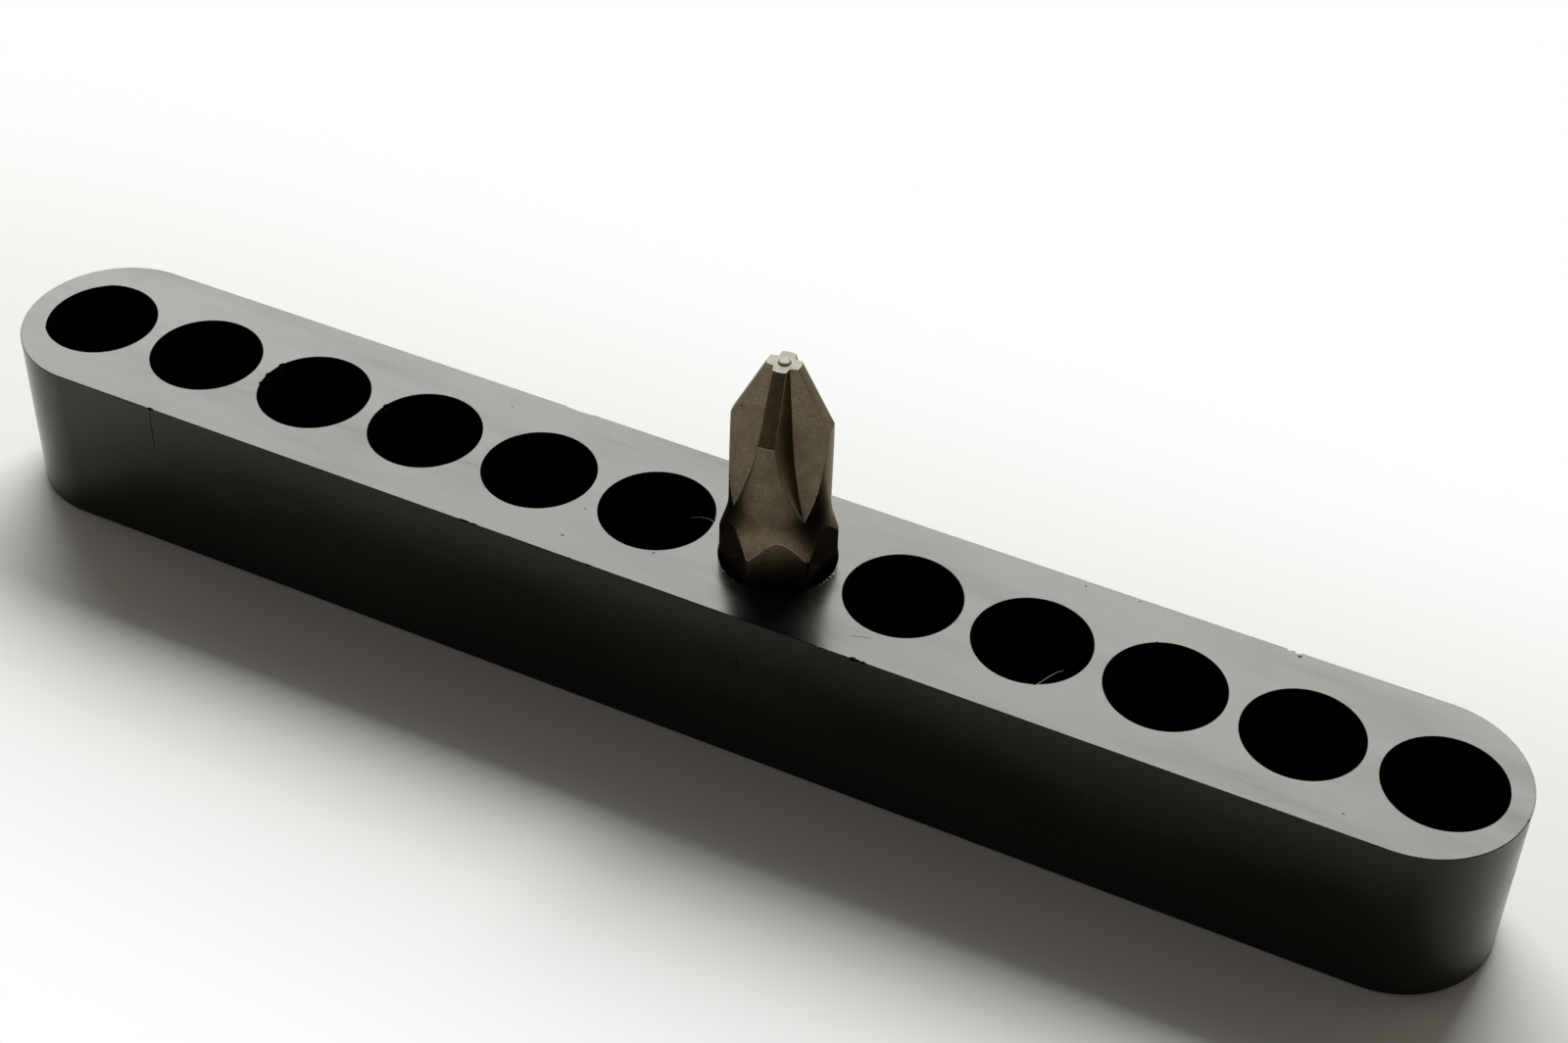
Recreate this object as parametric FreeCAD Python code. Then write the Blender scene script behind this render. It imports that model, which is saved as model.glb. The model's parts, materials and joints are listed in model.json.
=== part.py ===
"""Bit holder: a moulded bar with one row of round sockets, and a cross-point bit standing in one of them.

Millimetres, +Z up. The origin is the middle of the bar's underside, and the row of sockets runs along X.
"""
import FreeCAD, Part
import math
import os

from FreeCAD import Vector

os.makedirs("parts", exist_ok=True)

# Shank of the bits that the bar holds
hex_flats = 6.35            # quarter-inch hexagon, measured across its flats
corner_diameter = 7.20      # its corners are turned down a little

# Bar
socket_count = 12
socket_clearance = 0.10     # on the diameter, around the shank's corners
socket_depth = 10.2
socket_gap = 1.03           # plastic between two neighbouring sockets
side_wall = 2.70            # between a socket and the bar's long side
end_wall = 1.335            # between the last socket and the bar's end
floor_thickness = 1.40

# Bit, with its heights measured up from its foot
bit_socket = 7              # the socket it stands in, counted from the left
bit_turn = -5.75            # how far its flats are turned away from +X, in degrees
bit_length = 25.0           # from the foot to the top of the pip
shank_length = 12.3         # up to where the neck cuts the hexagon's corners
foot_bevel = 0.5            # height of the bevel around the foot
foot_bevel_angle = 40.0     # of the bevel to the foot's face, in degrees
neck_radius = 6.2           # hollow curve from the shank in to the round body
body_diameter = 6.15
point_angle = 53.0          # included angle of the cone, in degrees
tip_diameter = 2.06         # of the flat end of the cone
pip_diameter = 0.82         # stub that parting-off leaves on the tip
pip_height = 0.14

# Four flutes that leave a cross
flute_count = 4
flute_turn = 13.5           # how far the wings are turned from the shank's flats, in degrees
flute_angle = 109.0         # between a flute's two flanks, in degrees
flute_slope = 7.6           # how far a flute's root leans away from the axis, in degrees
core_radius = 0.70          # from the axis to a flute's root, at the tip
flute_length = 4.3          # straight part of a flute, down from the tip
cutter_radius = 16.0        # of the curve in which a flute runs out

# Worked out from the sizes above
socket_radius = (corner_diameter + socket_clearance) / 2
socket_pitch = 2 * socket_radius + socket_gap
bar_height = floor_thickness + socket_depth
bar_width = 2 * (socket_radius + side_wall)
first_socket = -socket_pitch * (socket_count - 1) / 2
bar_length = 2 * (socket_radius + end_wall - first_socket)
tip_height = bit_length - pip_height
cone_height = (body_diameter - tip_diameter) / 2 / math.tan(math.radians(point_angle / 2))


def socket_x(number):
    """Place along the bar of a socket, counted from 1 at the left."""
    return first_socket + (number - 1) * socket_pitch


def face_of(edges):
    """Plane face inside a closed run of edges."""
    return Part.Face(Part.Wire(edges))


def polygon_face(points):
    """Plane face inside straight sides."""
    return Part.Face(Part.makePolygon(points + [points[0]]))


def holder_block():
    """Bar with full-round ends and flat-bottomed sockets in its top."""
    end_radius = bar_width / 2
    end_centre = bar_length / 2 - end_radius
    right = Vector(end_centre, 0, 0)
    left = Vector(-end_centre, 0, 0)
    across = Vector(0, end_radius, 0)
    outward = Vector(end_radius, 0, 0)
    outline = face_of([
        Part.makeLine(left - across, right - across),
        Part.Arc(right - across, right + outward, right + across).toShape(),
        Part.makeLine(right + across, left + across),
        Part.Arc(left + across, left - outward, left - across).toShape(),
    ])
    bar = outline.extrude(Vector(0, 0, bar_height))
    for number in range(1, socket_count + 1):
        foot = Vector(socket_x(number), 0, floor_thickness)
        bar = bar.cut(Part.makeCylinder(socket_radius, socket_depth, foot))
    return bar


def bit_blank():
    """Turned blank: shank, hollow neck, body, cone, flat tip and pip, cut to a hexagon where it is thick."""
    corner_radius = corner_diameter / 2
    body_radius = body_diameter / 2
    tip_radius = tip_diameter / 2
    pip_radius = pip_diameter / 2
    bevel_width = foot_bevel / math.tan(math.radians(foot_bevel_angle))

    # The neck is an arc that meets the body smoothly and is cut off at the hexagon's corners.
    # It is hollow under a body that is slimmer than the shank, and round under a wider one.
    neck_depth = corner_radius - body_radius
    neck_curve = math.copysign(neck_radius, neck_depth)
    neck_height = math.sqrt(neck_depth * (2 * neck_curve - neck_depth))
    body_foot = shank_length + neck_height
    half_turn = math.asin(neck_height / neck_radius) / 2
    neck_middle = Vector(
        body_radius + neck_curve * (1 - math.cos(half_turn)), 0, body_foot - neck_radius * math.sin(half_turn))

    axis_foot = Vector(0, 0, 0)
    foot_rim = Vector(corner_radius - bevel_width, 0, 0)
    bevel_top = Vector(corner_radius, 0, foot_bevel)
    shank_top = Vector(corner_radius, 0, shank_length)
    neck_top = Vector(body_radius, 0, body_foot)
    cone_foot = Vector(body_radius, 0, tip_height - cone_height)
    tip_rim = Vector(tip_radius, 0, tip_height)
    pip_foot = Vector(pip_radius, 0, tip_height)
    pip_rim = Vector(pip_radius, 0, bit_length)
    axis_top = Vector(0, 0, bit_length)
    half_section = face_of([
        Part.makeLine(axis_foot, foot_rim),
        Part.makeLine(foot_rim, bevel_top),
        Part.makeLine(bevel_top, shank_top),
        Part.Arc(shank_top, neck_middle, neck_top).toShape(),
        Part.makeLine(neck_top, cone_foot),
        Part.makeLine(cone_foot, tip_rim),
        Part.makeLine(tip_rim, pip_foot),
        Part.makeLine(pip_foot, pip_rim),
        Part.makeLine(pip_rim, axis_top),
        Part.makeLine(axis_top, axis_foot),
    ])
    turned = half_section.revolve(axis_foot, Vector(0, 0, 1), 360)

    # Hexagonal bar, with one flat facing +X, that the shank and the neck are left of
    sharp_corner = hex_flats / 2 / math.cos(math.pi / 6)
    corners = []
    for side in range(6):
        angle = math.radians(30 + 60 * side)
        corners.append(Vector(sharp_corner * math.cos(angle), sharp_corner * math.sin(angle), 0))
    hexagon = polygon_face(corners).extrude(Vector(0, 0, body_foot))
    beside_flats = Part.makeCylinder(corner_diameter, body_foot).cut(hexagon)
    return turned.cut(beside_flats)


def flute():
    """Cut of one flute beside +X: straight down from the tip, then out along the cutter's curve."""
    slope = math.radians(flute_slope)
    down = Vector(math.sin(slope), 0, -math.cos(slope))
    out = Vector(math.cos(slope), 0, math.sin(slope))
    sideways = Vector(0, 1, 0)
    run_in = tip_diameter           # starts this far above the tip, clear of it
    reach = corner_diameter         # depth of the cut, out past the shank's corners
    spread = reach * math.tan(math.radians(flute_angle / 2))

    root_at_tip = Vector(core_radius, 0, tip_height)
    root_start = root_at_tip - down * run_in
    section = polygon_face([
        root_start,
        root_start + out * reach + sideways * spread,
        root_start + out * reach - sideways * spread,
    ])
    travel = down * (run_in + flute_length)
    straight = section.extrude(travel)
    section.translate(travel)
    cutter_centre = root_at_tip + down * flute_length + out * cutter_radius
    turn = math.degrees(math.acos(1 - corner_diameter / 2 / cutter_radius))
    run_out = section.revolve(cutter_centre, sideways, -turn)
    return straight.fuse(run_out)


def screwdriver_bit():
    """Bit standing on its socket's floor."""
    bit = bit_blank()
    wing_step = 360 / flute_count
    for index in range(flute_count):
        cut = flute()
        cut.rotate(Vector(0, 0, 0), Vector(0, 0, 1), flute_turn + wing_step * (index + 0.5))
        bit = bit.cut(cut)
    bit.rotate(Vector(0, 0, 0), Vector(0, 0, 1), bit_turn)
    bit.translate(Vector(socket_x(bit_socket), 0, floor_thickness))
    return bit


holder_block().exportStep("parts/holder_block.step")
screwdriver_bit().exportStep("parts/screwdriver_bit.step")
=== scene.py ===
"""Looks of the bit holder: a black moulded bar of sockets and one blasted steel bit, on a pale floor."""

import bmesh
import bpy
import json
import math
from mathutils import Matrix, Quaternion, Vector


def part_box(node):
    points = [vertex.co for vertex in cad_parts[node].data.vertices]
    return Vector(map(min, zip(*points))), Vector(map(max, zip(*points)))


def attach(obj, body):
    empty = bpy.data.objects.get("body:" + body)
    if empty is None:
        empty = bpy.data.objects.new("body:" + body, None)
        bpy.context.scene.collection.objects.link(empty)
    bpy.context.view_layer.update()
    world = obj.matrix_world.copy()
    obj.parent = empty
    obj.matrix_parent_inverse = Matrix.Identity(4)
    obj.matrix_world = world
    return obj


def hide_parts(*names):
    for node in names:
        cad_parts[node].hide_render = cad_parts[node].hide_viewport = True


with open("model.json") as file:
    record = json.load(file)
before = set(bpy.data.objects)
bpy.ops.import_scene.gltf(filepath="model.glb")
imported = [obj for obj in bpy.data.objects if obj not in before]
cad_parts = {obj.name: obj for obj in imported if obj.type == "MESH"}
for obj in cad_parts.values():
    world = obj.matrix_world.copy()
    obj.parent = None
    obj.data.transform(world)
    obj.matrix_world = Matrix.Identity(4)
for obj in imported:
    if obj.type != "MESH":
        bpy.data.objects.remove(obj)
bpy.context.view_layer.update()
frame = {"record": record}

MM = 0.001
MICRON = 0.001 * MM
SAME_PLACE = 0.01 * MICRON

# Camera, with its aim on the plane of the bar's top and its place round that aim
IMAGE_WIDTH = 1600
FOCAL_PIXELS = 2837.8
SENSOR = 36.0
CAMERA_AZIMUTH = 24.62
CAMERA_ELEVATION = 41.34
CAMERA_ROLL = -2.03
CAMERA_DISTANCE = 171.08 * MM
CAMERA_AIM = (3.241 * MM, 2.715 * MM)
CAMERA_CLIP = (5 * MM, 20.0)

# Bar and sockets, from the frame
BAR_LOW, BAR_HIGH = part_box("holder_block")
BAR_TOP = BAR_HIGH.z
END_RADIUS = BAR_HIGH.y
END_CENTRE = BAR_HIGH.x - END_RADIUS
SOCKET_MOUNT = next(m for m in frame["record"]["mounts"] if m["kind"] == "bore")
SOCKET_COUNT = 12
SOCKET_RADIUS = SOCKET_MOUNT["dims"]["r_mm"] * MM
SOCKET_DEPTH = SOCKET_MOUNT["dims"]["length_mm"] * MM
SOCKET_FLOOR = BAR_TOP - SOCKET_DEPTH
FIRST_SOCKET = SOCKET_MOUNT["pos_m"][0]
SOCKET_PITCH = -2 * FIRST_SOCKET / (SOCKET_COUNT - 1)
BIT_SOCKET = 7

# Edges of the moulding
TOP_EDGE = 0.05 * MM
MOUTH_EDGE = 0.05 * MM
BASE_EDGE = 0.15 * MM
FLOOR_FILLET = 0.30 * MM
ROUND_SIDES = 128
SOCKET_SIDES = 96
ON_WALL = 20 * MICRON       # how far from a wall's true line a vertex on it may be

# Bit, with its heights from its foot, as the solid has them
BIT_LOW, BIT_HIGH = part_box("screwdriver_bit")
BIT_FOOT = BIT_LOW.z
BIT_TURN = math.radians(-5.75)
BIT_LENGTH = BIT_HIGH.z - BIT_LOW.z
HEX_FLATS = 6.35 * MM
CORNER_RADIUS = 3.60 * MM
SHANK_LENGTH = 12.3 * MM
FOOT_BEVEL = 0.5 * MM
FOOT_RADIUS = 3.004 * MM
NECK_RADIUS = 6.2 * MM
BODY_RADIUS = 3.075 * MM
POINT_ANGLE = math.radians(53.0)
TIP_RADIUS = 1.03 * MM
PIP_RADIUS = 0.41 * MM
PIP_HEIGHT = 0.14 * MM
FLUTE_COUNT = 4
FLUTE_TURN = math.radians(13.5)
FLUTE_ANGLE = math.radians(109.0)
FLUTE_SLOPE = math.radians(7.6)
CORE_RADIUS = 0.70 * MM
FLUTE_LENGTH = 4.3 * MM
CUTTER_RADIUS = 16.0 * MM
TIP_HEIGHT = BIT_LENGTH - PIP_HEIGHT
CONE_HEIGHT = (BODY_RADIUS - TIP_RADIUS) / math.tan(POINT_ANGLE / 2)
CONE_FOOT = TIP_HEIGHT - CONE_HEIGHT
BIT_EDGE = 0.035 * MM
NECK_STEPS = 12
FLUTE_STEPS = 48

# Turned end of the bit. A groove is given by points across it: how far out, in millimetres, and its share of
# the depth. The pip's dome is given by points down it: how far down, in millimetres, and its share of the
# pip's radius.
TIP_GROOVES = (0.90, 0.74, 0.60)
GROOVE_SHAPE = ((0.05, 0), (0, 1), (-0.05, 1), (-0.08, 0))
GROOVE_DEPTH = 8 * MICRON
PIP_DOME = ((0.08, 0.95), (0.03, 0.84), (0, 0.62))
TIP_FOOT = BIT_FOOT + TIP_HEIGHT - 0.05 * MM
TIP_REACH = 1.05 * MM

# Edges of the bit, by the angle between their two faces: the least at a softened edge, and the least and the
# most at a rubbed one. The heights are those of the cone's rubbed rim and of the neck's rubbed curves.
SHARP_ANGLE = math.radians(18)
RUBBED_ANGLES = (math.radians(9), 1.0)
RUBBED_RIM = (CONE_FOOT - 5 * MICRON, CONE_FOOT + 5 * MICRON)
RUBBED_NECK = (SHANK_LENGTH - 0.3 * MM, CONE_FOOT - 3 * MM)
RUBBED_EDGE = 0.6 * BIT_EDGE

# Angles up to which faces are shaded as one, in degrees
BAR_SMOOTH = 50
BURR_SMOOTH = 60
BIT_SMOOTH = 6

# Knocks and flaws of the moulding, in millimetres. An edge nick is its place along the bar, half its length
# and its depth. A mark on the top is its place and its size. A rim chip is its socket, its bearing in degrees
# and its size. The shape of either is its three half sizes, as shares of that size. A seam is its place along
# the bar, its height and half its length.
FRONT_NICKS = [
    (-37.4, 0.24, 0.15), (-24.6, 0.3, 0.045), (-14.15, 0.50, 0.12), (-13.45, 0.35, 0.10),
    (-12.7, 0.14, 0.05), (-10.95, 0.25, 0.08), (-6.80, 0.20, 0.08), (-5.50, 0.35, 0.08),
    (-2.66, 0.14, 0.07), (-1.30, 0.25, 0.06), (11.55, 0.20, 0.07), (12.10, 0.26, 0.20),
    (12.42, 0.16, 0.13), (12.76, 0.20, 0.14), (27.2, 0.3, 0.05)]
BACK_NICKS = [(-13.1, 1.10, 0.12), (35.15, 0.22, 0.18), (34.62, 0.16, 0.14), (21.9, 0.2, 0.05)]
TOP_MARKS = [
    (-8.17, -4.71, 0.08), (-2.50, -3.55, 0.07), (-8.15, -1.92, 0.06), (21.92, 5.87, 0.06),
    (25.32, 6.10, 0.05), (35.35, 6.00, 0.10), (-17.1, 4.6, 0.05), (41.4, -4.9, 0.06)]
MARK_SHAPE = (1.3, 1.0, 0.5)
RIM_CHIPS = [
    (1, 150, 0.16), (1, 196, 0.12), (3, 158, 0.16), (3, 178, 0.13), (3, 193, 0.11), (4, 165, 0.13),
    (6, 12, 0.08), (9, -66, 0.09), (10, 118, 0.08)]
CHIP_SHAPE = (1.0, 1.6, 4.0)
SIDE_SEAMS = [(-37.5, 9.7, 1.9), (4.6, 7.8, 0.6)]
SEAM_WIDTH = 0.05
SEAM_DEPTH = 0.07

# A scratch is its place, half its length and its turn in degrees. The knock is at the right end.
SCRATCH = (11.75, -4.42, 0.80, 17.3)
SCRATCH_WIDTH = 0.03
SCRATCH_DEPTH = 0.012
END_KNOCK = (50.8, -0.7, 11.6)
END_KNOCK_SIZE = (0.12, 0.22, 0.12)

# Plastic that drilling left, in millimetres. Flash is its socket, the two bearings that it runs between, in
# degrees, and its width. A hair is the points that it runs through, and a crumb its place and its size.
RIM_FLASH = (1, 118, 222, 0.20)
FLASH_THICK = 0.05
FLASH_SUNK = 0.005
FLASH_STEPS = 24
HAIRS = [
    [(-0.62, 0.95, -0.30), (-1.15, 1.16, -0.36), (-1.70, 1.17, -0.45), (-2.24, 0.98, -0.55)],
    [(22.43, -3.30, -0.03), (22.62, -2.75, -0.10), (22.86, -2.10, -0.14), (23.10, -1.68, -0.12),
     (23.36, -1.37, -0.16)]]
HAIR_SIDES = 6
HAIR_RADIUS = 0.016
HAIR_TAPER = 0.82
CRUMBS = [
    (1.30, -2.42, 0.075), (1.42, -2.50, 0.045), (1.95, -3.02, 0.05), (2.05, -3.05, 0.035),
    (2.83, -3.50, 0.04), (7.67, -1.42, 0.035), (7.78, -1.15, 0.05), (7.86, -0.88, 0.06),
    (7.93, -0.55, 0.08), (7.98, -0.24, 0.10), (8.77, 0.25, 0.04), (8.62, 0.51, 0.05),
    (10.60, -6.27, 0.06), (10.40, -6.30, 0.035), (9.85, -6.30, 0.03)]
CRUMB_SHAPE = (1.3, 0.8, 0.5)
CRUMB_LEAN = 0.5
CRUMB_TURN = 67

# Floor: where its shadow starts to fade, and where it is white. Past the bar's ends it fades more slowly.
FLOOR_PALE = (0.88, 0.86, 0.83)
FLOOR_SIZE = 8.0
SHADOW_REACH = 11 * MM
WHITE_FROM = 42 * MM
END_SHARE = 0.45

# Room: its light from above, from near the horizon, and from the backdrop. The pairs are the part of a unit
# direction, upwards or backwards, at which one starts to give way to another, and at which it has.
ROOM_DIM = 0.07
HORIZON = 0.13
HORIZON_TOP = (0.15, 0.45)
BACKDROP = 0.80
BACKDROP_TURN = math.radians(6)
BACKDROP_SIDE = (-0.15, 0.5)
BACKDROP_TOP = (0.50, 0.80)
ROOM_WARMTH = (1.0, 0.95, 0.85)

# Lamp, and the two places along X between which its strength rises from one share to the other
LAMP_COLOUR = (0.95, 1.0, 1.0)
LAMP_WATTS = 6.85
LAMP_SIZE = (0.74, 0.32)
LAMP_DISTANCE = 0.75
LAMP_ELEVATION = 43
LAMP_ROLL = -22
LAMP_ENDS = (-460 * MM, 20 * MM)
LAMP_SHARES = (0.93, 1.25)

# Plastic: linear colours, and how deep and how strong its bumps are
PLASTIC_BLACK = (0.0020, 0.0017, 0.0010)
PLASTIC_FILM = (0.012, 0.011, 0.008)
PLASTIC_DUST = (0.010, 0.010, 0.009)
PLASTIC_ROUGHNESS = 0.20
PLASTIC_IOR = 1.41
PLASTIC_WARMTH = (1.0, 0.945, 0.84)
SMUDGE_FILM = 0.5
SMUDGE_DULL = 0.10
STREAK_DULL = 0.07
MOULDED_SWELL = (0.03 * MM, 0.5)
MOULDED_SKIN = (0.003 * MM, 0.35)
TORN_PLASTIC = (0.45, 0.44, 0.41)
# Near white: partly whitened torn plastic, partly painted glint
TORN_WHITE_AND_GLINT = (0.88, 0.87, 0.84)
TORN_ROUGHNESS = 0.3

# Steel: linear colours, the place of a patch of painted shade that darkens its front-right flank, the places
# of its spots, and its bumps
STEEL_BROWN = (0.124, 0.096, 0.060)
STEEL_OLIVE = (0.192, 0.159, 0.107)
STEEL_DARK_SPECK = (0.082, 0.064, 0.040)
# Painted highlight: the colour of sparse pale specks that stand for glints
STEEL_PAINTED_GLINT = (0.40, 0.36, 0.28)
STEEL_PIT = (0.022, 0.016, 0.010)
STEEL_RUBBED = (0.30, 0.27, 0.20)
STEEL_GRAZING = (0.72, 0.68, 0.60)
STEEL_ROUGHNESS = 0.33
ROUGHNESS_SPREAD = 0.08
RUBBED_ROUGHNESS = 0.34
STEEL_PAINTED_SHADE = (0.060, 0.047, 0.028)
PAINTED_SHADE_PLACE = (5.2 * MM, -1.0 * MM, 21.0 * MM)
PAINTED_SHADE_SIZE = 3.0 * MM
PAINTED_SHADE_STRENGTH = 0.65
STEEL_SPOTS = [
    (6.19 * MM, -0.31 * MM, 23.30 * MM), (6.00 * MM, -0.34 * MM, 23.24 * MM),
    (1.95 * MM, -0.88 * MM, 22.85 * MM)]
SPOT_SIZE = 0.13 * MM
SPOT_STRENGTH = 0.8
BLASTED_GRAIN = (0.012 * MM, 0.6)
RUBBED_GRAIN = (0.008 * MM, 0.5)
TIP_BRIGHT = (0.285, 0.255, 0.215)
TIP_DULL = (0.185, 0.163, 0.130)
TIP_METALLIC = 0.3
TIP_ROUGHNESS = (0.45, 0.62)
TOOL_MARKS = (0.003 * MM, 0.4)

# The bit's material slots
BLASTED, RUBBED, TURNED = range(3)


def socket_x(number):
    """Place along the bar of a socket, counted from 1 at the left."""
    return FIRST_SOCKET + (number - 1) * SOCKET_PITCH


def direction_of(azimuth, elevation):
    """Unit vector from the bar, given in degrees. Azimuth 0 is in front of the bar and 90 at its right."""
    turn, lift = math.radians(azimuth), math.radians(elevation)
    return Vector((math.sin(turn) * math.cos(lift), -math.cos(turn) * math.cos(lift), math.sin(lift)))


def make_camera():
    """Camera at the photograph's viewing angle."""
    back = direction_of(CAMERA_AZIMUTH, CAMERA_ELEVATION)
    roll = math.radians(CAMERA_ROLL)
    level = Vector((0, 0, 1)).cross(back).normalized()
    upright = back.cross(level)
    right = math.cos(roll) * level - math.sin(roll) * upright
    up = math.sin(roll) * level + math.cos(roll) * upright
    turn = Matrix((right, up, back)).transposed().to_4x4()
    aim = Vector((CAMERA_AIM[0], CAMERA_AIM[1], BAR_TOP))
    lens = bpy.data.cameras.new("photo_camera")
    lens.sensor_fit = "HORIZONTAL"
    lens.sensor_width = SENSOR
    lens.lens = FOCAL_PIXELS / IMAGE_WIDTH * SENSOR
    lens.clip_start, lens.clip_end = CAMERA_CLIP
    camera = bpy.data.objects.new("photo_camera", lens)
    camera.matrix_world = Matrix.Translation(aim + back * CAMERA_DISTANCE) @ turn
    bpy.context.scene.collection.objects.link(camera)
    bpy.context.scene.camera = camera


make_camera()


def only(piece):
    """Leave object mode's selection with one piece, which is also the active one."""
    bpy.ops.object.select_all(action="DESELECT")
    piece.select_set(True)
    bpy.context.view_layer.objects.active = piece


def new_piece(name):
    """Name the primitive that was just added and put its place into its mesh."""
    piece = bpy.context.object
    piece.name = name
    piece.data.name = name
    only(piece)
    bpy.ops.object.transform_apply(location=True, rotation=True, scale=True)
    return piece


def choose(piece, level, wanted):
    """Select, in edit mode, the vertices, edges or faces that pass a test."""
    bpy.ops.mesh.select_mode(type=level)
    bpy.ops.mesh.select_all(action="DESELECT")
    shape = bmesh.from_edit_mesh(piece.data)
    items = {"VERT": shape.verts, "EDGE": shape.edges, "FACE": shape.faces}[level]
    for item in items:
        if wanted(item):
            item.select_set(True)
    shape.select_flush_mode()
    bmesh.update_edit_mesh(piece.data)


def apply_modifiers(piece):
    """Apply every modifier on a piece, first to last."""
    only(piece)
    for modifier in list(piece.modifiers):
        bpy.ops.object.modifier_apply(modifier=modifier.name)


def cut(piece, cutter, operation="DIFFERENCE"):
    """Cut a piece by another mesh, which is used up."""
    modifier = piece.modifiers.new("cut", "BOOLEAN")
    modifier.operation = operation
    modifier.solver = "EXACT"
    modifier.object = cutter
    apply_modifiers(piece)
    bpy.data.objects.remove(cutter)


def joined(pieces, name):
    """Join several meshes into the first one."""
    bpy.ops.object.select_all(action="DESELECT")
    for piece in pieces:
        piece.select_set(True)
    bpy.context.view_layer.objects.active = pieces[0]
    bpy.ops.object.join()
    pieces[0].name = name
    pieces[0].data.name = name
    return pieces[0]


def tidy(piece, distance=MICRON):
    """Merge doubles and turn every face outwards."""
    only(piece)
    bpy.ops.object.mode_set(mode="EDIT")
    bpy.ops.mesh.select_all(action="SELECT")
    bpy.ops.mesh.remove_doubles(threshold=distance)
    bpy.ops.mesh.normals_make_consistent(inside=False)
    bpy.ops.object.mode_set(mode="OBJECT")


def clear_folds(piece):
    """Take out the folded slivers that bevels leave where several of them meet."""
    shape = bmesh.new()
    shape.from_mesh(piece.data)
    bmesh.ops.remove_doubles(shape, verts=shape.verts[:], dist=SAME_PLACE)
    bmesh.ops.dissolve_degenerate(shape, edges=shape.edges[:], dist=SAME_PLACE)
    folds = [face for face in shape.faces if any(edge.is_boundary for edge in face.edges)]
    bmesh.ops.delete(shape, geom=folds, context="FACES")
    shape.to_mesh(piece.data)
    shape.free()


def smooth(piece, angle):
    """Smooth shading up to an angle, with the large faces kept flat."""
    only(piece)
    bpy.ops.object.shade_smooth_by_angle(angle=math.radians(angle))
    modifier = piece.modifiers.new("flat_faces", "WEIGHTED_NORMAL")
    modifier.keep_sharp = True
    modifier.weight = 100
    apply_modifiers(piece)


def bevel_edges(piece, wanted, width, segments, slot=-1):
    """Round chosen edges of a piece in edit mode, with the new faces in a material slot if one is given."""
    choose(piece, "EDGE", wanted)
    bpy.ops.mesh.bevel(
        offset=width, offset_type="OFFSET", segments=segments, profile=0.5, affect="EDGES",
        clamp_overlap=slot < 0, material=slot)


def near(value, target):
    """Whether two lengths agree to a micrometre."""
    return abs(value - target) < MICRON


def edge_at_height(edge, height):
    """Whether both ends of an edge lie at one height."""
    return near(edge.verts[0].co.z, height) and near(edge.verts[1].co.z, height)


def socket_distance(point):
    """Distance from a point to the nearest socket's axis, in plan."""
    number = round((point.x - FIRST_SOCKET) / SOCKET_PITCH) + 1
    number = min(max(number, 1), SOCKET_COUNT)
    return math.hypot(point.x - socket_x(number), point.y)


def on_socket(edge):
    """Whether both ends of an edge lie on a socket's wall."""
    return all(abs(socket_distance(v.co) - SOCKET_RADIUS) < ON_WALL for v in edge.verts)


def on_outline(edge):
    """Whether both ends of an edge lie on the bar's outline in plan."""
    for vertex in edge.verts:
        across = max(abs(vertex.co.x) - END_CENTRE, 0)
        if abs(math.hypot(across, vertex.co.y) - END_RADIUS) > ON_WALL:
            return False
    return True


def make_bar():
    """Bar: a drum drawn out to full-round ends, with twelve sockets and softened edges."""
    half_step = math.pi / ROUND_SIDES
    bpy.ops.mesh.primitive_cylinder_add(
        vertices=ROUND_SIDES, radius=END_RADIUS, depth=BAR_TOP - BAR_LOW.z, end_fill_type="NGON",
        location=(-END_CENTRE, 0, (BAR_TOP + BAR_LOW.z) / 2), rotation=(0, 0, half_step))
    bar = new_piece("bar")
    bpy.ops.object.mode_set(mode="EDIT")
    choose(bar, "VERT", lambda v: v.co.x > -END_CENTRE)
    bpy.ops.transform.translate(value=(2 * END_CENTRE, 0, 0))
    bpy.ops.object.mode_set(mode="OBJECT")

    drills = []
    for number in range(1, SOCKET_COUNT + 1):
        bpy.ops.mesh.primitive_cylinder_add(
            vertices=SOCKET_SIDES, radius=SOCKET_RADIUS, depth=2 * SOCKET_DEPTH,
            location=(socket_x(number), 0, SOCKET_FLOOR + SOCKET_DEPTH),
            rotation=(0, 0, math.pi / SOCKET_SIDES))
        drills.append(new_piece("drill"))
    cut(bar, joined(drills, "drills"))
    tidy(bar)

    only(bar)
    bpy.ops.object.mode_set(mode="EDIT")
    bevel_edges(bar, lambda e: edge_at_height(e, BAR_TOP) and on_outline(e), TOP_EDGE, segments=3)
    bevel_edges(bar, lambda e: edge_at_height(e, BAR_TOP) and on_socket(e), MOUTH_EDGE, segments=2)
    bevel_edges(bar, lambda e: edge_at_height(e, SOCKET_FLOOR) and on_socket(e), FLOOR_FILLET, segments=3)
    bevel_edges(bar, lambda e: edge_at_height(e, BAR_LOW.z) and on_outline(e), BASE_EDGE, segments=3)
    bpy.ops.object.mode_set(mode="OBJECT")
    for flaws in make_flaws():
        cut(bar, flaws)
    tidy(bar)
    smooth(bar, BAR_SMOOTH)
    return bar


def pebble(place, size, turn=0.0):
    """Small rounded lump, to cut a nick or leave a crumb. Its middle and half sizes are in millimetres."""
    bpy.ops.mesh.primitive_ico_sphere_add(
        subdivisions=2, radius=1.0, location=[c * MM for c in place], rotation=(0, 0, math.radians(turn)),
        scale=[c * MM for c in size])
    return new_piece("pebble")


def rim_place(number, bearing):
    """Point on a socket's rim, in millimetres."""
    angle = math.radians(bearing)
    reach = SOCKET_RADIUS / MM
    return socket_x(number) / MM + reach * math.cos(angle), reach * math.sin(angle), BAR_TOP / MM


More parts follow.
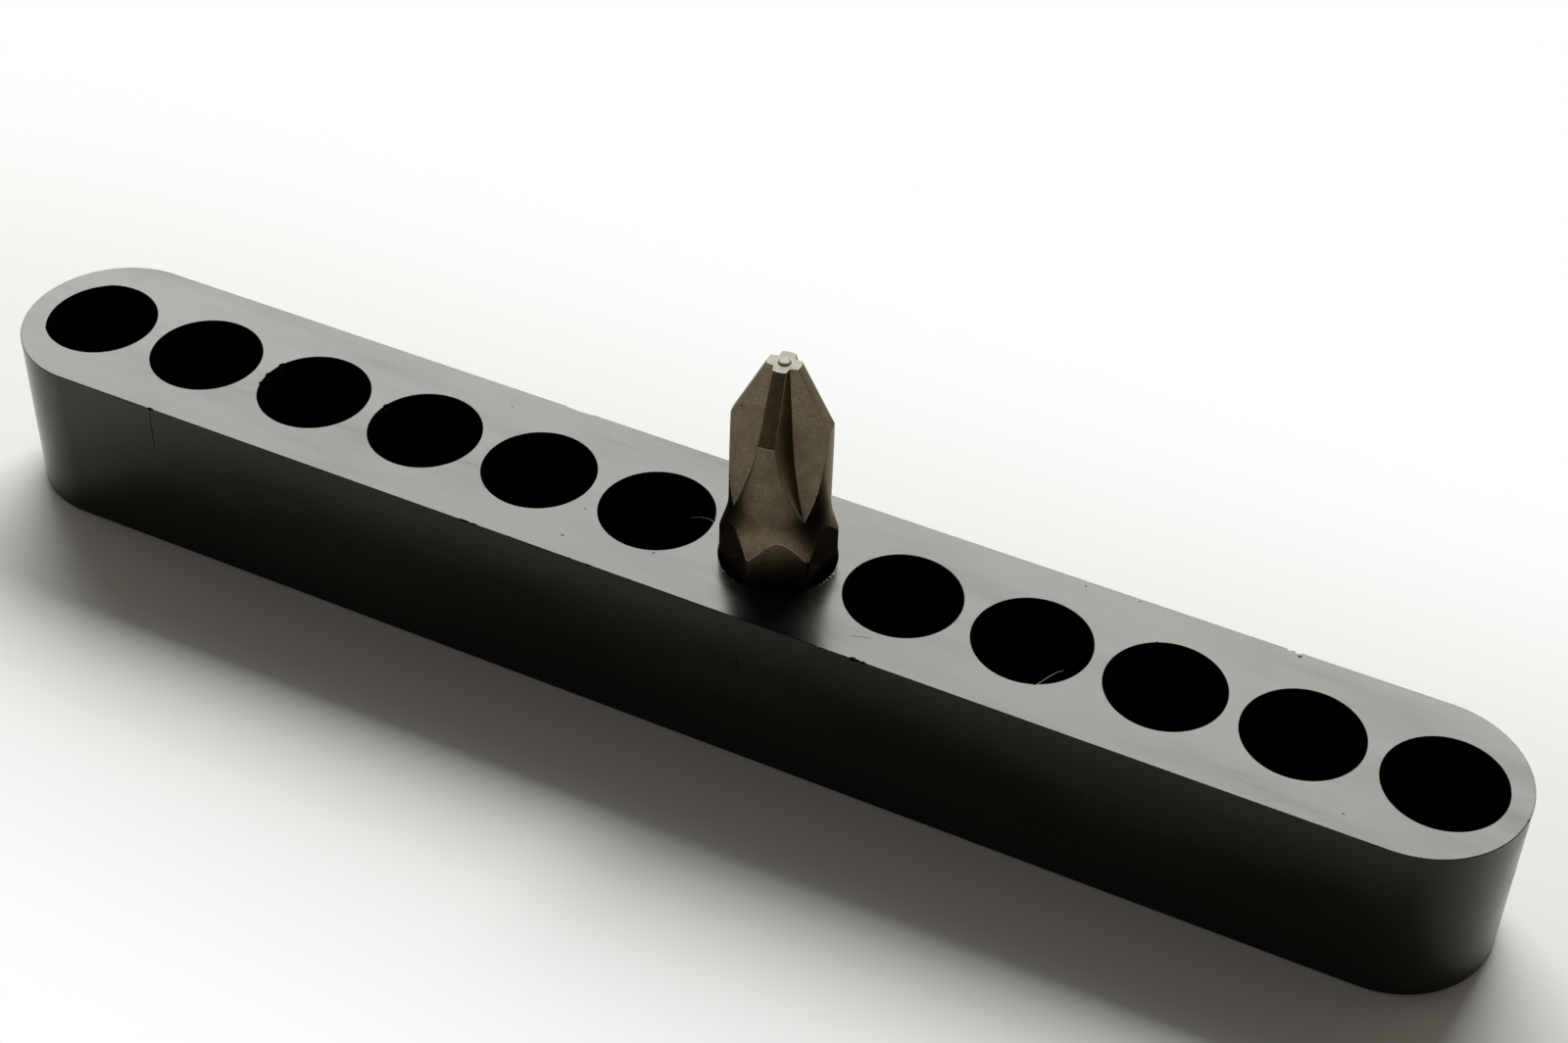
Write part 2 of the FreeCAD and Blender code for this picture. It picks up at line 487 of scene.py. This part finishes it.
def make_flaws():
    """Cutters for the nicks, marks, chips, seams, scratch and knock, in meshes whose lumps don't overlap."""
    top, side = BAR_TOP / MM, END_RADIUS / MM
    front = [pebble((x, -side, top), (length, depth, depth)) for x, length, depth in FRONT_NICKS]
    back = [pebble((x, side, top), (length, depth, depth)) for x, length, depth in BACK_NICKS]
    marks = [pebble((x, y, top), [share * size for share in MARK_SHAPE]) for x, y, size in TOP_MARKS]
    chips = [
        pebble(rim_place(number, bearing), [share * size for share in CHIP_SHAPE], bearing)
        for number, bearing, size in RIM_CHIPS]
    seams = [pebble((x, -side, z), (SEAM_WIDTH, SEAM_DEPTH, length)) for x, z, length in SIDE_SEAMS]
    x, y, length, turn = SCRATCH
    others = [
        pebble((x, y, top), (length, SCRATCH_WIDTH, SCRATCH_DEPTH), turn), pebble(END_KNOCK, END_KNOCK_SIZE)]
    cutters = (front[::2], front[1::2], back, marks, chips, seams, others)
    return [joined(lumps, "flaws") for lumps in cutters]


def make_hair(path):
    """Thin curl of plastic left by the drill, drawn along a few points and thinner at its end."""
    points = [Vector((x * MM, y * MM, BAR_TOP + z * MM)) for x, y, z in path]
    bpy.ops.mesh.primitive_circle_add(
        vertices=HAIR_SIDES, radius=HAIR_RADIUS * MM, fill_type="NGON", location=points[0])
    hair = new_piece("hair")
    bpy.ops.object.mode_set(mode="EDIT")
    bpy.ops.mesh.select_all(action="SELECT")
    for last, point in zip(points, points[1:]):
        bpy.ops.mesh.extrude_region_move(TRANSFORM_OT_translate={"value": point - last})
        bpy.ops.transform.resize(value=(HAIR_TAPER,) * 3, center_override=point)
    bpy.ops.object.mode_set(mode="OBJECT")
    return hair


def make_flash():
    """Thin flash on a socket's rim: a small upright face drawn round the axis, and narrowed to its ends."""
    number, start, end, width = RIM_FLASH
    x, y, _ = rim_place(number, start)
    bpy.ops.mesh.primitive_plane_add(
        size=1, location=(x * MM, y * MM, BAR_TOP - (FLASH_THICK / 2 + FLASH_SUNK) * MM),
        rotation=(math.pi / 2, 0, math.radians(start)))
    bpy.context.object.scale = (2 * width * MM, FLASH_THICK * MM, 1)
    flash = new_piece("flash")
    bpy.ops.object.mode_set(mode="EDIT")
    bpy.ops.mesh.select_all(action="SELECT")
    bpy.ops.mesh.spin(
        steps=FLASH_STEPS, angle=-math.radians(end - start), center=(socket_x(number), 0, 0), axis=(0, 0, 1))
    bpy.ops.object.mode_set(mode="OBJECT")
    axis = Vector((socket_x(number), 0, 0))
    for vertex in flash.data.vertices:
        arm = Vector((vertex.co.x - axis.x, vertex.co.y, 0))
        if arm.length < SOCKET_RADIUS:
            share = (math.degrees(math.atan2(arm.y, arm.x)) % 360 - start) / (end - start)
            narrowed = arm.length + width * MM * (1 - math.sin(math.pi * share))
            vertex.co += arm * (narrowed / arm.length - 1)
    return flash


def make_burrs(plastic, torn):
    """Flash and curls in three sockets, and crumbs of torn plastic on the top, most of them near the bit."""
    parts = [make_flash()] + [make_hair(path) for path in HAIRS]
    for part in parts:
        part.data.materials.append(plastic)
    for index, (x, y, size) in enumerate(CRUMBS):
        lean = CRUMB_LEAN * math.sin(5.0 * index)
        long, wide, high = CRUMB_SHAPE
        shape = ((long + lean) * size, (wide - lean / 2) * size, high * size)
        crumb = pebble((x, y, BAR_TOP / MM), shape, CRUMB_TURN * index)
        crumb.data.materials.append(torn)
        parts.append(crumb)
    burrs = joined(parts, "plastic_burrs")
    tidy(burrs)
    smooth(burrs, BURR_SMOOTH)
    return burrs


def make_blank():
    """Turned blank of the bit: each ring of the profile is drawn up from the last one and resized."""
    neck_depth = CORNER_RADIUS - BODY_RADIUS
    neck_height = math.sqrt(neck_depth * (2 * NECK_RADIUS - neck_depth))
    neck_angle = math.asin(neck_height / NECK_RADIUS)
    rings = [(FOOT_BEVEL, CORNER_RADIUS), (SHANK_LENGTH, CORNER_RADIUS)]
    for step in range(1, NECK_STEPS + 1):
        left = neck_angle * (1 - step / NECK_STEPS)
        rings.append((
            SHANK_LENGTH + neck_height - NECK_RADIUS * math.sin(left),
            BODY_RADIUS + NECK_RADIUS * (1 - math.cos(left))))
    rings += [(CONE_FOOT, BODY_RADIUS), (TIP_HEIGHT, TIP_RADIUS)]
    for radius in TIP_GROOVES:
        rings += [(TIP_HEIGHT - share * GROOVE_DEPTH, (radius + out) * MM) for out, share in GROOVE_SHAPE]
    rings.append((TIP_HEIGHT, PIP_RADIUS))
    rings += [(BIT_LENGTH - drop * MM, PIP_RADIUS * share) for drop, share in PIP_DOME]

    bpy.ops.mesh.primitive_circle_add(vertices=ROUND_SIDES, radius=FOOT_RADIUS, fill_type="NGON")
    blank = new_piece("bit")
    bpy.ops.object.mode_set(mode="EDIT")
    bpy.ops.mesh.select_all(action="SELECT")
    height, radius = 0.0, FOOT_RADIUS
    for next_height, next_radius in rings:
        step_up = (0, 0, next_height - height)
        bpy.ops.mesh.extrude_region_move(TRANSFORM_OT_translate={"value": step_up})
        share = next_radius / radius
        bpy.ops.transform.resize(value=(share, share, 1), center_override=(0, 0, next_height))
        height, radius = next_height, next_radius
    bpy.ops.object.mode_set(mode="OBJECT")
    tidy(blank)
    return blank


def make_hexagon():
    """Hexagonal bar stock that the shank is left of, with one flat facing +X."""
    bpy.ops.mesh.primitive_cylinder_add(
        vertices=6, radius=HEX_FLATS / 2 / math.cos(math.pi / 6), depth=3 * BIT_LENGTH)
    return new_piece("stock")


def make_flute(turn):
    """Cutter of one flute: a V drawn down along its sloping root, then swept out along the cutter's curve."""
    down = Vector((math.sin(FLUTE_SLOPE), 0, -math.cos(FLUTE_SLOPE)))
    out = Vector((math.cos(FLUTE_SLOPE), 0, math.sin(FLUTE_SLOPE)))
    sideways = Vector((0, 1, 0))
    run_in = 2 * TIP_RADIUS
    reach = 2 * CORNER_RADIUS
    spread = reach * math.tan(FLUTE_ANGLE / 2)
    root_at_tip = Vector((CORE_RADIUS, 0, TIP_HEIGHT))
    start = root_at_tip - down * run_in
    corners = [start, start + out * reach + sideways * spread, start + out * reach - sideways * spread]

    bpy.ops.mesh.primitive_circle_add(vertices=3, radius=reach, fill_type="NGON")
    cutter = new_piece("flute")
    for vertex, corner in zip(cutter.data.vertices, corners):
        vertex.co = corner
    bpy.ops.object.mode_set(mode="EDIT")
    bpy.ops.mesh.select_all(action="SELECT")
    bpy.ops.mesh.extrude_region_move(TRANSFORM_OT_translate={"value": down * (run_in + FLUTE_LENGTH)})
    centre = root_at_tip + down * FLUTE_LENGTH + out * CUTTER_RADIUS
    run_out = math.acos(1 - CORNER_RADIUS / CUTTER_RADIUS)
    bpy.ops.mesh.spin(steps=FLUTE_STEPS, angle=run_out, center=centre, axis=sideways)
    bpy.ops.object.mode_set(mode="OBJECT")
    cutter.data.transform(Matrix.Rotation(turn, 4, "Z"))
    tidy(cutter)
    return cutter


def is_rubbed(edge):
    """Whether an edge is the cone's lower rim, or the curve where a flat runs out into the neck."""
    angle = edge.calc_face_angle(0)
    low, high = sorted(v.co.z - BIT_FOOT for v in edge.verts)
    on_rim = RUBBED_RIM[0] < low and high < RUBBED_RIM[1]
    on_neck = RUBBED_NECK[0] < low and high < RUBBED_NECK[1] and angle < RUBBED_ANGLES[1]
    return angle > RUBBED_ANGLES[0] and (on_rim or on_neck)


def is_sharp(edge):
    """Whether an edge of the bit is softened: every sharp one but those inside the turned end."""
    axis = Vector((socket_x(BIT_SOCKET), 0, 0))
    below_tip = min(v.co.z for v in edge.verts) < TIP_FOOT
    on_cone = min((v.co - axis).xy.length for v in edge.verts) > TIP_REACH
    return edge.calc_face_angle(0) > SHARP_ANGLE and (below_tip or on_cone)


def make_bit():
    """Bit: turned blank cut to a hexagon, with four flutes, standing in its socket."""
    bit = make_blank()
    cut(bit, make_hexagon(), "INTERSECT")
    for index in range(FLUTE_COUNT):
        cut(bit, make_flute(FLUTE_TURN + 2 * math.pi / FLUTE_COUNT * (index + 0.5)))
    bit.data.transform(Matrix.Rotation(BIT_TURN, 4, "Z"))
    bit.data.transform(Matrix.Translation((socket_x(BIT_SOCKET), 0, BIT_FOOT)))
    tidy(bit, 2 * MICRON)
    for material in (steel_material(), worn_edge_material(), turned_tip_material()):
        bit.data.materials.append(material)

    only(bit)
    bpy.ops.object.mode_set(mode="EDIT")
    bevel_edges(bit, is_rubbed, RUBBED_EDGE, segments=2, slot=RUBBED)
    bevel_edges(bit, is_sharp, BIT_EDGE, segments=2, slot=BLASTED)
    choose(bit, "FACE", lambda f: f.calc_center_median().z > TIP_FOOT)
    bit.active_material_index = TURNED
    bpy.ops.object.material_slot_assign()
    bpy.ops.object.mode_set(mode="OBJECT")
    clear_folds(bit)
    smooth(bit, BIT_SMOOTH)
    return bit


def add_node(tree, kind, values=None, **settings):
    """Add a node, with its settings, and set or link its inputs by name or number."""
    node = tree.nodes.new(kind)
    for name, value in settings.items():
        setattr(node, name, value)
    for name, value in (values or {}).items():
        if isinstance(value, bpy.types.NodeSocket):
            tree.links.new(value, node.inputs[name])
        else:
            node.inputs[name].default_value = value
    return node


def combine(tree, operation, first, second):
    """Sum, product or other operation on two numbers."""
    return add_node(tree, "ShaderNodeMath", {0: first, 1: second}, operation=operation).outputs[0]


def new_group(name, inputs, output):
    """Node group with number inputs beside its place on the piece, and one number as its output."""
    tree = bpy.data.node_groups.new(name, "ShaderNodeTree")
    tree.interface.new_socket("Vector", in_out="INPUT", socket_type="NodeSocketVector")
    for label, value in inputs.items():
        tree.interface.new_socket(label, in_out="INPUT", socket_type="NodeSocketFloat").default_value = value
    tree.interface.new_socket(output, in_out="OUTPUT", socket_type="NodeSocketFloat")
    return tree, tree.nodes.new("NodeGroupInput").outputs, tree.nodes.new("NodeGroupOutput").inputs[output]


def make_cloud_group():
    """Soft patches, such as smudges and tarnish: 0 on most of the surface and 1 in the patches."""
    tree, given, result = new_group("soft_patches", {"Scale": 300.0, "From": 0.45, "To": 0.65}, "Mask")
    clouds = add_node(tree, "ShaderNodeTexNoise", {
        "Vector": given["Vector"], "Scale": given["Scale"], "Detail": 4.0, "Roughness": 0.6})
    spread = add_node(tree, "ShaderNodeMapRange", {
        "Value": clouds.outputs["Fac"], "From Min": given["From"], "From Max": given["To"]})
    tree.links.new(spread.outputs["Result"], result)
    return tree


def make_grain_group():
    """Fine grain of a blasted or moulded surface, with coarser lumps under it."""
    tree, given, result = new_group("fine_grain", {"Scale": 6000.0, "Lumps": 0.4}, "Height")
    fine = add_node(tree, "ShaderNodeTexNoise", {
        "Vector": given["Vector"], "Scale": given["Scale"], "Detail": 3.0, "Roughness": 0.65})
    third = combine(tree, "MULTIPLY", given["Scale"], 0.3)
    coarse = add_node(tree, "ShaderNodeTexNoise", {"Vector": given["Vector"], "Scale": third, "Detail": 2.0})
    both = add_node(tree, "ShaderNodeMix", {
        "Factor": given["Lumps"], "A": fine.outputs["Fac"], "B": coarse.outputs["Fac"]})
    tree.links.new(both.outputs["Result"], result)
    return tree


def make_speck_group():
    """Sparse round specks: 1 at a speck and 0 between them."""
    tree, given, result = new_group("sparse_specks", {"Scale": 900.0, "Size": 0.12, "Share": 0.2}, "Mask")
    cells = add_node(tree, "ShaderNodeTexVoronoi", {"Vector": given["Vector"], "Scale": given["Scale"]})
    inside = add_node(tree, "ShaderNodeMapRange", {
        "Value": cells.outputs["Distance"], "From Min": given["Size"], "From Max": 0.0})
    chance = add_node(tree, "ShaderNodeSeparateColor", {"Color": cells.outputs["Color"]})
    taken = combine(tree, "LESS_THAN", chance.outputs["Red"], given["Share"])
    tree.links.new(combine(tree, "MULTIPLY", inside.outputs["Result"], taken), result)
    return tree


SOFT_PATCHES = make_cloud_group()
FINE_GRAIN = make_grain_group()
SPARSE_SPECKS = make_speck_group()


def effect(tree, group, vector, **values):
    """Place an effect's node group in a material and give back its output."""
    node = add_node(tree, "ShaderNodeGroup", node_tree=group)
    tree.links.new(vector, node.inputs["Vector"])
    for name, value in values.items():
        node.inputs[name].default_value = value
    return node.outputs[0]


def stretched(tree, vector, scale):
    """Coordinates pressed together along some axes, so that a pattern runs long in them."""
    return add_node(tree, "ShaderNodeMapping", {"Vector": vector, "Scale": scale}).outputs["Vector"]


def blend(tree, mask, low, high):
    """Number that goes from one value to another with a mask."""
    return add_node(tree, "ShaderNodeMapRange", {
        "Value": mask, "To Min": low, "To Max": high}).outputs["Result"]


def tint(tree, mask, low, high):
    """Colour that goes from one to another with a mask. Either may be a socket."""
    node = add_node(tree, "ShaderNodeMix", data_type="RGBA")
    tree.links.new(mask, node.inputs[0])
    for socket, value in ((node.inputs[6], low), (node.inputs[7], high)):
        if isinstance(value, bpy.types.NodeSocket):
            tree.links.new(value, socket)
        else:
            socket.default_value = (*value, 1)
    return node.outputs[2]


def bump(tree, height, distance, strength, under=None):
    """Bump from a height, over another bump if one is given."""
    node = add_node(tree, "ShaderNodeBump", {"Height": height, "Distance": distance, "Strength": strength})
    if under is not None:
        tree.links.new(under, node.inputs["Normal"])
    return node.outputs["Normal"]


def new_material(name):
    """Material with its node tree, its shader and the coordinates of the piece."""
    material = bpy.data.materials.new(name)
    material.use_nodes = True
    tree = material.node_tree
    place = tree.nodes.new("ShaderNodeTexCoord").outputs["Object"]
    return material, tree, tree.nodes["Principled BSDF"], place


def plastic_material():
    """Black semi-gloss moulded plastic, with faint smudges and rubbed streaks along the bar."""
    material, tree, shader, place = new_material("black_plastic")
    along = stretched(tree, place, (0.22, 1, 1))
    smudges = effect(tree, SOFT_PATCHES, along, Scale=260.0, From=0.42, To=0.72)
    lines = effect(tree, SOFT_PATCHES, stretched(tree, place, (0.05, 1, 1)), Scale=2600.0, From=0.5, To=0.75)
    streaks = combine(tree, "MULTIPLY", lines, smudges)
    dust = effect(tree, SPARSE_SPECKS, place, Scale=700.0, Size=0.06, Share=0.10)
    film = combine(tree, "MAXIMUM", combine(tree, "MULTIPLY", smudges, SMUDGE_FILM), dust)
    colour = tint(tree, film, PLASTIC_BLACK, PLASTIC_FILM)
    facing = tree.nodes.new("ShaderNodeTexCoord").outputs["Normal"]
    upwards = add_node(tree, "ShaderNodeSeparateXYZ", {"Vector": facing}).outputs["Z"]
    mottle = effect(tree, SOFT_PATCHES, stretched(tree, place, (0.6, 1, 1)), Scale=420.0, From=0.35, To=0.75)
    settled = combine(tree, "MULTIPLY", mottle, combine(tree, "MAXIMUM", upwards, 0.0))
    tree.links.new(tint(tree, settled, colour, PLASTIC_DUST), shader.inputs["Base Color"])
    smudged = combine(tree, "MULTIPLY", smudges, SMUDGE_DULL)
    rubbed = combine(tree, "ADD", smudged, combine(tree, "MULTIPLY", streaks, STREAK_DULL))
    tree.links.new(combine(tree, "ADD", rubbed, PLASTIC_ROUGHNESS), shader.inputs["Roughness"])
    waves = effect(tree, SOFT_PATCHES, along, Scale=120.0, From=0.2, To=0.8)
    skin = effect(tree, FINE_GRAIN, place, Scale=5000.0, Lumps=0.5)
    swell = bump(tree, waves, *MOULDED_SWELL)
    tree.links.new(bump(tree, skin, *MOULDED_SKIN, swell), shader.inputs["Normal"])
    shader.inputs["IOR"].default_value = PLASTIC_IOR
    shader.inputs["Specular Tint"].default_value = (*PLASTIC_WARMTH, 1)
    return material


def crumb_material():
    """Thin torn plastic, pale where it has whitened, and near white in patches that are partly painted
    glints.
    """
    material, tree, shader, place = new_material("torn_plastic")
    patches = effect(tree, SOFT_PATCHES, place, Scale=3000.0, From=0.4, To=0.6)
    # The near-white patches are partly whitened plastic and partly painted highlights standing for glints
    tree.links.new(tint(tree, patches, TORN_PLASTIC, TORN_WHITE_AND_GLINT), shader.inputs["Base Color"])
    shader.inputs["Roughness"].default_value = TORN_ROUGHNESS
    return material


def steel_colour(tree, place):
    """Colour, grain and pits that all of the blasted steel shares, with sparse painted glints in the colour.
    """
    tarnish = effect(tree, SOFT_PATCHES, place, Scale=700.0, From=0.35, To=0.65)
    grain = effect(tree, FINE_GRAIN, place, Scale=9000.0, Lumps=0.35)
    contrast = effect(tree, SOFT_PATCHES, place, Scale=9000.0, From=0.30, To=0.70)
    pits = effect(tree, SPARSE_SPECKS, place, Scale=1500.0, Size=0.16, Share=0.10)
    base = tint(tree, tarnish, STEEL_BROWN, STEEL_OLIVE)
    speckled = tint(tree, contrast, STEEL_DARK_SPECK, base)
    # Painted highlights: sparse pale specks in the colour stand for glints
    painted_glints = effect(tree, SPARSE_SPECKS, place, Scale=3600.0, Size=0.20, Share=0.04)
    return tint(tree, pits, tint(tree, painted_glints, speckled, STEEL_PAINTED_GLINT), STEEL_PIT), grain, pits


def spot_mask(tree, place, middle, size, strength):
    """Mask of a round spot that fades out from its middle."""
    away = add_node(tree, "ShaderNodeVectorMath", {0: place, 1: middle}, operation="DISTANCE")
    spot = add_node(tree, "ShaderNodeMapRange", {
        "Value": away.outputs["Value"], "From Min": size, "From Max": 0.0, "To Max": strength})
    return spot.outputs["Result"]


def steel_material():
    """Blasted steel, brown-grey and matt, with a fine speckle, tarnish, small pits and a patch of painted
    shade on one flank.
    """
    material, tree, shader, place = new_material("blasted_steel")
    colour, grain, pits = steel_colour(tree, place)
    # Painted shade: a soft dark patch in the colour on the bit's front-right flank, where its reflections
    # fall darker
    painted_shade = spot_mask(tree, place, PAINTED_SHADE_PLACE, PAINTED_SHADE_SIZE, PAINTED_SHADE_STRENGTH)
    colour = tint(tree, painted_shade, colour, STEEL_PAINTED_SHADE)
    for spot in STEEL_SPOTS:
        colour = tint(tree, spot_mask(tree, place, spot, SPOT_SIZE, SPOT_STRENGTH), colour, STEEL_PIT)
    tree.links.new(colour, shader.inputs["Base Color"])
    roughness = blend(tree, grain, STEEL_ROUGHNESS - ROUGHNESS_SPREAD, STEEL_ROUGHNESS + ROUGHNESS_SPREAD)
    tree.links.new(roughness, shader.inputs["Roughness"])
    sunk = combine(tree, "SUBTRACT", grain, pits)
    tree.links.new(bump(tree, sunk, *BLASTED_GRAIN), shader.inputs["Normal"])
    shader.inputs["Metallic"].default_value = 1.0
    shader.inputs["Specular Tint"].default_value = (*STEEL_GRAZING, 1)
    return material


def worn_edge_material():
    """Edges of the steel, rubbed brighter in broken stretches."""
    material, tree, shader, place = new_material("rubbed_steel_edge")
    colour, grain, _ = steel_colour(tree, place)
    rubbed = effect(tree, SOFT_PATCHES, place, Scale=1600.0, From=0.35, To=0.62)
    tree.links.new(tint(tree, rubbed, colour, STEEL_RUBBED), shader.inputs["Base Color"])
    tree.links.new(blend(tree, rubbed, STEEL_ROUGHNESS, RUBBED_ROUGHNESS), shader.inputs["Roughness"])
    tree.links.new(bump(tree, grain, *RUBBED_GRAIN), shader.inputs["Normal"])
    shader.inputs["Metallic"].default_value = 1.0
    shader.inputs["Specular Tint"].default_value = (*STEEL_GRAZING, 1)
    return material


def turned_tip_material():
    """Bright turned steel of the tip's end, with tool marks in rings round the bit's axis."""
    material, tree, shader, place = new_material("turned_steel_tip")
    centred = add_node(tree, "ShaderNodeMapping", {
        "Vector": place, "Location": (-socket_x(BIT_SOCKET), 0, 0)}).outputs["Vector"]
    rings = add_node(tree, "ShaderNodeTexWave", {
        "Vector": centred, "Scale": 2600.0, "Distortion": 0.6, "Detail": 1.0, "Detail Scale": 3000.0},
        wave_type="RINGS", rings_direction="Z")
    grain = effect(tree, FINE_GRAIN, place, Scale=9000.0, Lumps=0.3)
    shade = combine(tree, "MULTIPLY", rings.outputs["Fac"], grain)
    tree.links.new(tint(tree, shade, TIP_BRIGHT, TIP_DULL), shader.inputs["Base Color"])
    tree.links.new(blend(tree, grain, *TIP_ROUGHNESS), shader.inputs["Roughness"])
    tree.links.new(bump(tree, rings.outputs["Fac"], *TOOL_MARKS), shader.inputs["Normal"])
    shader.inputs["Metallic"].default_value = TIP_METALLIC
    return material


def rise(tree, value, span, low, high):
    """Number that goes smoothly from one value to another while a given one passes over a span."""
    return add_node(tree, "ShaderNodeMapRange", {
        "Value": value, "From Min": span[0], "From Max": span[1], "To Min": low, "To Max": high},
        interpolation_type="SMOOTHSTEP").outputs["Result"]


def make_floor():
    """Plain pale floor, clear from below. It keeps the bar's shadow, and further off it looks white."""
    bpy.ops.mesh.primitive_plane_add(size=FLOOR_SIZE, location=(0, 0, BAR_LOW.z))
    floor = new_piece("floor")
    material, tree, shader, place = new_material("pale_floor")
    shader.inputs["Base Color"].default_value = (*FLOOR_PALE, 1)
    shader.inputs["Roughness"].default_value = 1.0
    shader.inputs["Specular IOR Level"].default_value = 0.0

    spot = add_node(tree, "ShaderNodeSeparateXYZ", {"Vector": place}).outputs
    along = add_node(tree, "ShaderNodeMath", {0: spot["X"]}, operation="ABSOLUTE").outputs[0]
    past_end = combine(tree, "MAXIMUM", combine(tree, "SUBTRACT", along, END_CENTRE), 0.0)
    near_end = combine(tree, "MULTIPLY", past_end, END_SHARE)
    offset = add_node(tree, "ShaderNodeCombineXYZ", {"X": near_end, "Y": spot["Y"]}).outputs[0]
    away = add_node(tree, "ShaderNodeVectorMath", {0: offset}, operation="LENGTH").outputs["Value"]
    far = rise(tree, away, (SHADOW_REACH, WHITE_FROM), 0.0, 1.0)

    light_path = tree.nodes.new("ShaderNodeLightPath").outputs
    seen = combine(tree, "MAXIMUM", light_path["Is Camera Ray"], light_path["Is Glossy Ray"])
    seen = combine(tree, "MAXIMUM", seen, light_path["Is Transmission Ray"])
    white = add_node(tree, "ShaderNodeEmission", {"Color": (1, 1, 1, 1), "Strength": 1.0})
    share = combine(tree, "MULTIPLY", seen, far)
    mixed = add_node(tree, "ShaderNodeMixShader", {
        0: share, 1: shader.outputs["BSDF"], 2: white.outputs["Emission"]})
    behind = tree.nodes.new("ShaderNodeNewGeometry").outputs["Backfacing"]
    clear = tree.nodes.new("ShaderNodeBsdfTransparent")
    one_way = add_node(tree, "ShaderNodeMixShader", {0: behind, 1: mixed.outputs[0], 2: clear.outputs[0]})
    tree.links.new(one_way.outputs[0], tree.nodes["Material Output"].inputs["Surface"])
    floor.data.materials.append(material)


def make_room():
    """Dim room with a pale backdrop low behind the bar. To the eye it is white all round."""
    world = bpy.data.worlds.new("room")
    world.use_nodes = True
    tree = world.node_tree
    direction = tree.nodes.new("ShaderNodeTexCoord").outputs["Generated"]
    turn = math.radians(CAMERA_AZIMUTH) + BACKDROP_TURN
    backwards = add_node(tree, "ShaderNodeVectorMath", {
        0: direction, 1: (-math.sin(turn), math.cos(turn), 0)}, operation="DOT_PRODUCT").outputs["Value"]
    behind = rise(tree, backwards, BACKDROP_SIDE, 0.0, 1.0)
    upwards = add_node(tree, "ShaderNodeSeparateXYZ", {"Vector": direction}).outputs["Z"]
    below = rise(tree, upwards, BACKDROP_TOP, 1.0, 0.0)
    low = rise(tree, upwards, HORIZON_TOP, HORIZON, ROOM_DIM)
    strength = blend(tree, combine(tree, "MULTIPLY", behind, below), low, BACKDROP)
    seen = tree.nodes.new("ShaderNodeLightPath").outputs["Is Camera Ray"]
    background = tree.nodes["Background"]
    tree.links.new(tint(tree, seen, ROOM_WARMTH, (1.0, 1.0, 1.0)), background.inputs["Color"])
    tree.links.new(combine(tree, "MAXIMUM", strength, seen), background.inputs["Strength"])
    bpy.context.scene.world = world


def make_softbox():
    """Rectangular lamp opposite the camera, facing the bar's middle and brighter towards its right end."""
    back = direction_of(CAMERA_AZIMUTH + 180, LAMP_ELEVATION)
    data = bpy.data.lights.new("softbox", "AREA")
    data.shape = "RECTANGLE"
    data.size, data.size_y = LAMP_SIZE
    data.energy = LAMP_WATTS
    data.color = LAMP_COLOUR
    data.use_nodes = True
    tree = data.node_tree
    place = tree.nodes.new("ShaderNodeNewGeometry").outputs["Position"]
    sideways = add_node(tree, "ShaderNodeSeparateXYZ", {"Vector": place}).outputs["X"]
    share = add_node(tree, "ShaderNodeMapRange", {
        "Value": sideways, "From Min": LAMP_ENDS[0], "From Max": LAMP_ENDS[1],
        "To Min": LAMP_SHARES[0], "To Max": LAMP_SHARES[1]}).outputs["Result"]
    tree.links.new(share, tree.nodes["Emission"].inputs["Strength"])
    lamp = bpy.data.objects.new("softbox", data)
    lamp.location = back * LAMP_DISTANCE
    lamp.rotation_mode = "QUATERNION"
    lamp.rotation_quaternion = Quaternion(back, math.radians(LAMP_ROLL)) @ back.to_track_quat("Z", "Y")
    lamp.visible_camera = False
    bpy.context.scene.collection.objects.link(lamp)


bar = make_bar()
plastic = plastic_material()
bar.data.materials.append(plastic)
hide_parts("holder_block")
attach(bar, "root")

burrs = make_burrs(plastic, crumb_material())
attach(burrs, "root")

bit = make_bit()
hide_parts("screwdriver_bit")
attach(bit, "root")

make_floor()
make_room()
make_softbox()
bpy.context.scene.view_settings.view_transform = "Standard"
